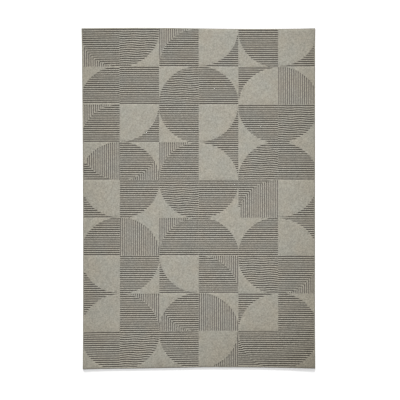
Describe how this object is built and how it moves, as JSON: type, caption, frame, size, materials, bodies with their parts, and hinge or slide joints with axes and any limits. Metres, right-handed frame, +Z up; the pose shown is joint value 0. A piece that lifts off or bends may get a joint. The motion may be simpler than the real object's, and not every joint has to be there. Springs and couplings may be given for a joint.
{
  "type": "area rug",
  "caption": "Flat rectangular area rug whose tall cut pile is carved with straight grooves in squares and quarter discs; whipped edges and a cloth underside.",
  "frame": {"origin": "centre of the underside, on the floor", "axes": "+Y along the length towards the head end, +X across the width, +Z up out of the pile"},
  "size_m": [1.6, 2.344, 0.012],
  "materials": {
    "sage_cut_pile": "matte",
    "taupe_low_pile": "matte",
    "jute_cloth": "matte",
    "ground_cloth": "matte",
    "latex": "matte",
    "binding_yarn": "matte",
    "cotton_cord": "matte"
  },
  "bodies": {
    "root": {"secondary_backing": "jute_cloth", "latex_coat": "latex", "ground_weave": "ground_cloth", "low_pile": "taupe_low_pile", "high_pile": "sage_cut_pile", "edge_binding_left": "binding_yarn", "edge_cord_left": "cotton_cord", "edge_binding_right": "binding_yarn", "edge_cord_right": "cotton_cord", "edge_binding_head": "binding_yarn", "edge_cord_head": "cotton_cord", "edge_binding_foot": "binding_yarn", "edge_cord_foot": "cotton_cord"}
  },
  "joints": []
}
